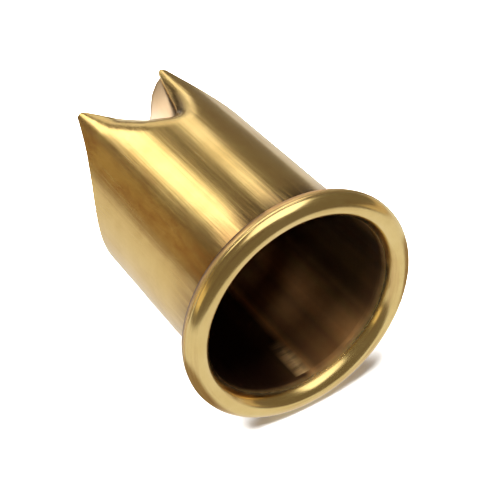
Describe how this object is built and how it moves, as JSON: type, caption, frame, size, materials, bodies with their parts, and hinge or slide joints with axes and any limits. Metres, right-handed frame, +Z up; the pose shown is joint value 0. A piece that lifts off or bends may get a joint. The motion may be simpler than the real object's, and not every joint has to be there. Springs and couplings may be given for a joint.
{
  "type": "mouthpiece cap",
  "caption": "Short sheet-brass tube with a wired rolled rim, a scooped end wall and two pointed ears beside a notch; slips over a reed mouthpiece.",
  "frame": {"origin": "middle of the cap's extent on the surface that it lies on", "axes": "+Y along the cap from its open mouth to its ears, +Z up away from the surface, +X across it"},
  "size_m": [0.0338, 0.048, 0.0337],
  "materials": {
    "tube_brass": "lengthwise brushed satin, lacquered",
    "wall_brass": "satin",
    "rim_brass": "soft polished, lacquered",
    "rim_wire": "drawn wire",
    "hard_solder": "dull brazed fillet"
  },
  "bodies": {
    "root": {"tube_shell": "tube_brass", "end_wall": "wall_brass", "end_wall_solder": "hard_solder", "rim_bead": "rim_brass", "rim_wire": "rim_wire", "rim_solder": "hard_solder"}
  },
  "joints": []
}
